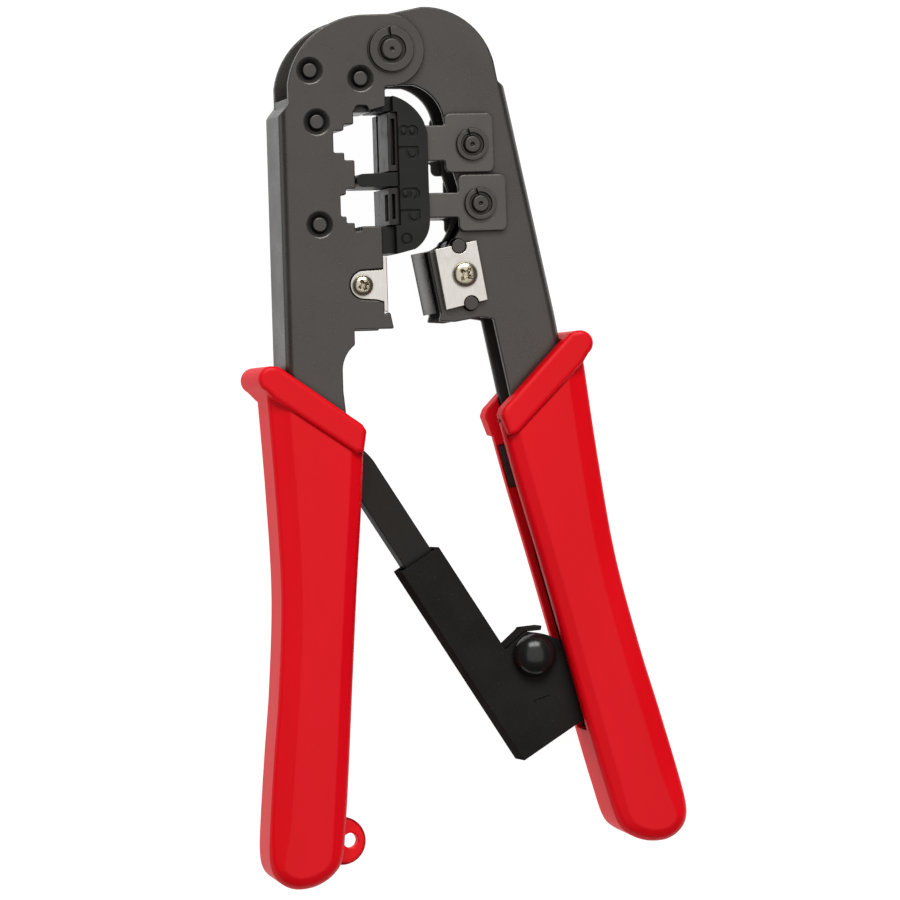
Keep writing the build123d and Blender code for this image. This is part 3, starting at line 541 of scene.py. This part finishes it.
# ------------------------------------------------------------------------------ handles
RIM_OUTER = 4.0          # width of the sloping rim along the outside of a handle
RIM_INNER = 2.9
RIM_TOE = 2.3
RIM_DROP = 2.5
WALL_DRAFT = 0.7         # how far a handle's walls lean in at the back
WEB_SWELL = {"left": 0.0, "right": 0.8}   # how far a web stands out above its collar
SWELL_Y = -58.0          # where that swelling starts to fade
CHANNEL_HALF = {"left": 8.0, "right": 6.05}   # half thickness of the room for the channel
SLOT_HALF = {"left": 5.0, "right": 4.9}       # half width of the slot for the ratchet link
SLOT_TOP_Y = -70.0
SLOT_END_Y = {"left": -126.0, "right": -139.5}
COLLAR_RIM = 0.8
STOP_AT = (-3.55, -64.1)  # finger stop, measured inward from the web
STOP_RADIUS = 2.55
STOP_ARC = (96, -62)
EYE_AT = (-13.2, -155.2)  # lanyard eye beside the left handle
EYE_RADIUS = 4.7
EYE_ROOT = ((-15.6, -150.6), (-15.6, -159.8))
EYE_HALF = 1.6
EYE_RIM = 0.5
EYE_HOLE_AT = (-11.5, -155.2)
EYE_HOLE_RADIUS = 1.5
EYE_HOLE_REACH = 3.0
POCKET_LOW = -8.2        # pocket in the right slot's lower wall, where the channel's lug shows
POCKET_OVERCUT = 0.5
LUG_LEVELS = (-8.1, -5.4)


def from_web(side, inward_by, y):
    """Point at a distance inward from the outer face of an arm's web."""
    if side == "left":
        return Vector((LEFT_WEB_X + inward_by, y))
    return Vector((RIGHT_WEB_X - inward_by, y))


def handle_outline(side):
    """Closed outline of a handle's body, and its rim width at each point."""
    outer = ((-4.1, -66.5), (-3.0, -86), (-2.4, -106), (-3.4, -124), (-4.8, -138), (-5.9, -150),
             (-6.3, -157.0))
    toe = ((-5.7, -160.6), (-3.9, -162.8), (-1.0, -163.9), (2.8, -163.4), (6.2, -161.4),
           (8.2, -158.2))
    inner = ((9.1, -151), (9.9, -142), (11.4, -122), (12.8, -104), (14.2, -88), (15.0, -76))
    steps = 10
    outline = curve_through([from_web(side, u, y) for u, y in outer + toe + inner], steps)
    toe_start = (len(outer) - 1) * steps
    toe_end = toe_start + len(toe) * steps
    widths = []
    for i in range(len(outline)):
        into_toe = min(1, max(0, (i - toe_start + steps) / (2 * steps)))
        past_toe = min(1, max(0, (i - toe_end + steps) / (2 * steps)))
        width = RIM_OUTER + (RIM_TOE - RIM_OUTER) * into_toe
        widths.append(width + (RIM_INNER - width) * past_toe)
    return outline, widths


def collar_outline(side):
    """Sloping band round the top of a handle, ending in a round finger stop outside."""
    away = -1 if side == "left" else 1
    centre = from_web(side, *STOP_AT)
    stop = [Vector((centre.x + away * p.x, centre.y + p.y))
            for p in arc_points((0, 0), STOP_RADIUS, *STOP_ARC, 18)]
    rest = [from_web(side, u, y) for u, y in
            ((-3.2, -68.0), (12.8, -79.0), (14.4, -78.9), (15.1, -74.7), (14.3, -73.4),
             (-2.0, -61.7))]
    return stop + rest


def handle_room(side):
    """Space for the steel channel inside a handle."""
    half = CHANNEL_HALF[side]
    return prism([from_web(side, -WEB_SWELL[side], -55), from_web(side, -WEB_SWELL[side], SWELL_Y),
                  from_web(side, 0, KNEE_Y),
                  from_web(side, -FLARE, HANDLE_END_Y), from_web(side, 6.8, HANDLE_END_Y),
                  from_web(side, 10.6, KNEE_Y), from_web(side, 11.7, -72),
                  from_web(side, 12.2, -55)], -half, half)


def cut(piece, outline, low, high, place):
    """Cut a straight-sided hole from one height to another."""
    combine(piece, new_piece("tool", prism(outline, low, high), place, None, "grip_red"),
            "DIFFERENCE")


def handle(side, place):
    """Moulded handle with its collar, hollow for the channel and slotted for the link."""
    outline, widths = handle_outline(side)
    piece = new_piece(side + "_handle_moulding",
                      moulded_slab(outline, GRIP_HALF, widths, RIM_DROP, square_end=True,
                                   draft=WALL_DRAFT),
                      place, side + "_arm", "grip_red")
    collar = collar_outline(side)
    band = moulded_slab(collar, COLLAR_HALF, [COLLAR_RIM] * len(collar), COLLAR_RIM, steps=5)
    combine(piece, new_piece("band", band, place, None, "grip_red"), "UNION")
    combine(piece, new_piece("room", handle_room(side), place, None, "grip_red"),
            "DIFFERENCE")
    slot = [from_web(side, u, y) for u, y in
            ((6.0, SLOT_TOP_Y), (18.0, SLOT_TOP_Y), (18.0, SLOT_END_Y[side]),
             (5.0, SLOT_END_Y[side]))]
    cut(piece, slot, -SLOT_HALF[side], SLOT_HALF[side], place)
    return piece


def handles():
    """Both moulded handles, the lanyard eye on the left and the pocket in the right."""
    left = handle("left", LEFT)
    tab = arc_points(EYE_AT, EYE_RADIUS, -86, 86, 26) + [Vector(point) for point in EYE_ROOT]
    eye = moulded_slab(tab, EYE_HALF, [EYE_RIM] * len(tab), EYE_RIM, steps=4)
    combine(left, new_piece("eye", eye, LEFT, None, "grip_red"), "UNION")
    hole = arc_points(EYE_HOLE_AT, EYE_HOLE_RADIUS, 0, 350, 35)
    cut(left, hole, -EYE_HOLE_REACH, EYE_HOLE_REACH, LEFT)
    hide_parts("left_grip")
    right = handle("right", RIGHT)
    pocket = [from_web("right", u, y) for u, y in
              ((10.0, -81.0), (13.6, -81.0), (13.0, -89.8), (10.0, -89.8))]
    cut(right, pocket, POCKET_LOW, -SLOT_HALF["right"] + POCKET_OVERCUT, RIGHT)
    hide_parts("right_grip")
    for piece in (left, right):
        soften(piece, width=0.3, segments=3, corner=15, flatness=0.02)
    lug = new_piece("channel_lug_in_window", prism(pocket, *LUG_LEVELS), RIGHT, "right_arm",
                    "frame_steel")
    soften(lug, width=0.15)


# ------------------------------------------------------------------------------ small pieces
HEAD_HEIGHT = 1.25
HEAD_CROWN = 0.58        # share of the head's height that is domed
SHANK_SHARE = 0.58       # the shank's radius, as a share of the head's
SHANK_END = -4.0
CROSS_ARM = 0.60         # reach and half width of the cross, as shares of the head's radius
CROSS_HALF = 0.15
CROSS_DEPTH = 0.95
CROSS_TOP = 1.15         # how much wider each arm is at the top
CROSS_TAPER = (0.45, 0.7)   # how much shorter and narrower it is at the bottom
CROSS_ABOVE = 0.2        # how far the cutter stands above the head


def cross_arm(radius):
    """Tapered cutter for one arm of a cross recess."""
    arm = CROSS_ARM * radius
    half = CROSS_HALF * radius
    corners = ((-arm, -half), (arm, -half), (arm, half), (-arm, half))
    bm = bmesh.new()
    top = [bm.verts.new((x, y * CROSS_TOP, HEAD_HEIGHT + CROSS_ABOVE)) for x, y in corners]
    low = [bm.verts.new((x * CROSS_TAPER[0], y * CROSS_TAPER[1], HEAD_HEIGHT - CROSS_DEPTH))
           for x, y in corners]
    for i in range(4):
        j = (i + 1) % 4
        bm.faces.new((low[i], low[j], top[j], top[i]))
    bm.faces.new(low)
    bm.faces.new(top)
    return bm


def phillips_screw(name, node, place, at, seat, radius, body, turn):
    """Pan-head screw with a tapered cross recess and a shank."""
    shank = radius * SHANK_SHARE
    outline = [(0, HEAD_HEIGHT)]
    outline += [(radius * 0.97 * math.sin(math.radians(a)),
                 HEAD_HEIGHT * (1 - HEAD_CROWN + HEAD_CROWN * math.cos(math.radians(a))))
                for a in range(8, 84, 8)]
    outline += [(radius * 0.99, HEAD_HEIGHT * 0.30), (radius * 0.96, 0.0), (shank, 0.0),
                (shank, SHANK_END), (0, SHANK_END)]
    here = place @ Matrix.Translation((at[0], at[1], seat))
    piece = new_piece(name, turned_profile(outline), here, body, SLOTS[node])
    for angle in (turn, turn + 90):
        cutter = new_piece("cross", cross_arm(radius),
                           here @ Matrix.Rotation(math.radians(angle), 4, "Z"), None, SLOTS[node])
        combine(piece, cutter, "DIFFERENCE")
    soften(piece, width=0.06)
    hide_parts(node)


KNOB_CHAMFER = 0.25
KNOB_RIM_TOP = 0.75      # where the dome begins


def knob():
    """Domed release knob with a flat rim."""
    low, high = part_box("release_knob")
    radius = (high.x - low.x) / MM / 2
    height = (high.z - low.z) / MM
    dome = height - KNOB_RIM_TOP
    profile = [(0, 0), (radius - KNOB_CHAMFER, 0), (radius, KNOB_CHAMFER), (radius, KNOB_RIM_TOP)]
    profile += [(radius * math.cos(math.radians(a)),
                 KNOB_RIM_TOP + dome * math.sin(math.radians(a))) for a in range(6, 90, 6)]
    profile += [(0, height)]
    seat = low.z / MM - JOINTS["pawl_hinge"]["pos_m"][2] / MM
    piece = new_piece("domed_release_knob", turned_profile(profile, steps=96),
                      KNOB @ Matrix.Translation((0, 0, seat)), "pawl_unit", "knob_plastic")
    soften(piece, width=0.05)
    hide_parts("release_knob")


def screws():
    """Screws of the two blades."""
    phillips_screw("fixed_blade_cross_screw", "fixed_blade_screw", LEFT, at=(-7.0, -46.2),
                   seat=7.7, radius=2.05, body="left_arm", turn=25)
    phillips_screw("moving_blade_cross_screw", "moving_blade_screw", RIGHT, at=(5.6, -46.2),
                   seat=7.35, radius=2.5, body="right_arm", turn=40)


# ------------------------------------------------------------------------------ CAD pieces kept
# widths of the rounding on the CAD pieces that differ from the usual one
EDGE_WIDTHS = {
    "left_frame": 0.28, "right_frame": 0.28, "die_block": 0.12, "die_rivets": 0.15,
    "punch_guide": 0.1, "pusher_8p": 0.3, "pusher_6p": 0.3, "ratchet_housing": 0.16,
    "ratchet_bar": 0.22, "blade_clamp_plate": 0.12, "punch_8p": 0.12, "punch_6p": 0.12,
    "pivot_clip": 0.12, "pusher_clips": 0.12, "contact_comb_8p": 0.04, "contact_comb_6p": 0.04,
    "opening_spring": 0.02, "moving_blade": 0.03, "fixed_blade": 0.05,
}
EDGE_WIDTH = 0.1


def kept_nodes():
    """Finish and rounded edges for every CAD piece that no other piece replaces."""
    for name, node in frame["nodes"].items():
        if node.hide_render:
            continue
        node.data.materials.clear()
        node.data.materials.append(FINISHES[SLOTS[name]])
        soften(node, EDGE_WIDTHS.get(name, EDGE_WIDTH))


# ------------------------------------------------------------------------------ stage
# this section is in metres and watts
FLOOR_REACH = 3.0
FLOOR_GAP = 0.0001       # keeps the floor just under the tool
FLOOR_GLOW = 0.97
WORLD_GLOW = 0.06
TOOL_MIDDLE = Vector((0.0, 0.0, 0.0))


def floor():
    """Pale sheet under the tool, glowing a little so that it stays white beside the tool."""
    bm = bmesh.new()
    corners = [(-FLOOR_REACH, -FLOOR_REACH), (FLOOR_REACH, -FLOOR_REACH),
               (FLOOR_REACH, FLOOR_REACH), (-FLOOR_REACH, FLOOR_REACH)]
    bm.faces.new([bm.verts.new((x, y, CAD_BOX[0][2] - FLOOR_GAP)) for x, y in corners])
    mesh = bpy.data.meshes.new("pale_floor")
    bm.to_mesh(mesh)
    bm.free()
    sheet = bpy.data.objects.new("pale_floor", mesh)
    bpy.context.scene.collection.objects.link(sheet)
    f = Finish("pale_floor_paint", Roughness=0.9, Specular_IOR_Level=0.1)
    f.shader.inputs["Emission Color"].default_value = (1, 1, 1, 1)
    f.shader.inputs["Emission Strength"].default_value = FLOOR_GLOW
    tone = f.mix(f.noise(size=300.0, detail=2.0), grey(0.17), grey(0.20))
    mesh.materials.append(f.done(tone, 0.9))


def softbox(name, at, width, depth, power):
    """Rectangular lamp turned towards the middle of the tool."""
    lamp = bpy.data.lights.new(name, "AREA")
    lamp.shape = "RECTANGLE"
    lamp.size = width
    lamp.size_y = depth
    lamp.energy = power
    holder = bpy.data.objects.new(name, lamp)
    bpy.context.scene.collection.objects.link(holder)
    holder.location = at
    holder.rotation_mode = "QUATERNION"
    holder.rotation_quaternion = (TOOL_MIDDLE - Vector(at)).to_track_quat("-Z", "Y")


def studio():
    """One large lamp overhead, a smaller one beyond the head, and a faint even world."""
    softbox("overhead_box", at=(0.0, 0.0, 1.5), width=2.0, depth=1.6, power=8.4)
    softbox("key_box", at=(0.0, 0.95, 0.95), width=1.0, depth=0.5, power=13)
    world = bpy.data.worlds.new("studio_air")
    world.use_nodes = True
    bpy.context.scene.world = world
    background = world.node_tree.nodes["Background"]
    background.inputs["Color"].default_value = (1, 1, 1, 1)
    background.inputs["Strength"].default_value = WORLD_GLOW
    bpy.context.scene.view_settings.view_transform = "Standard"


CAMERA_DISTANCE = 1.1
CAMERA_AZIMUTH = 12.6    # degrees to the left of straight above
CAMERA_ROLL = -1.75
CAMERA_TARGET = (11.224, -78.943, 0)   # millimetres from the main pivot
SENSOR_WIDTH = 36        # millimetres, as is the lens
LENS = 222.2


def camera():
    """Long lens above the tool, a little to its left, with the tool a little turned."""
    azimuth = math.radians(CAMERA_AZIMUTH)
    roll = math.radians(CAMERA_ROLL)
    target = LEFT @ Vector(CAMERA_TARGET)
    back = Vector((-math.sin(azimuth), 0, math.cos(azimuth)))
    level = Vector((math.cos(azimuth), 0, math.sin(azimuth)))
    north = Vector((0, 1, 0))
    right = level * math.cos(roll) + north * math.sin(roll)
    up = north * math.cos(roll) - level * math.sin(roll)
    data = bpy.data.cameras.new("camera")
    data.sensor_width = SENSOR_WIDTH
    data.lens = LENS
    data.clip_start = 0.05
    holder = bpy.data.objects.new("camera", data)
    bpy.context.scene.collection.objects.link(holder)
    axes = Matrix((right, up, back)).transposed().to_4x4()
    holder.matrix_world = Matrix.Translation(target + back * CAMERA_DISTANCE) @ axes
    bpy.context.scene.camera = holder


handles()
screws()
knob()
kept_nodes()
floor()
studio()
camera()
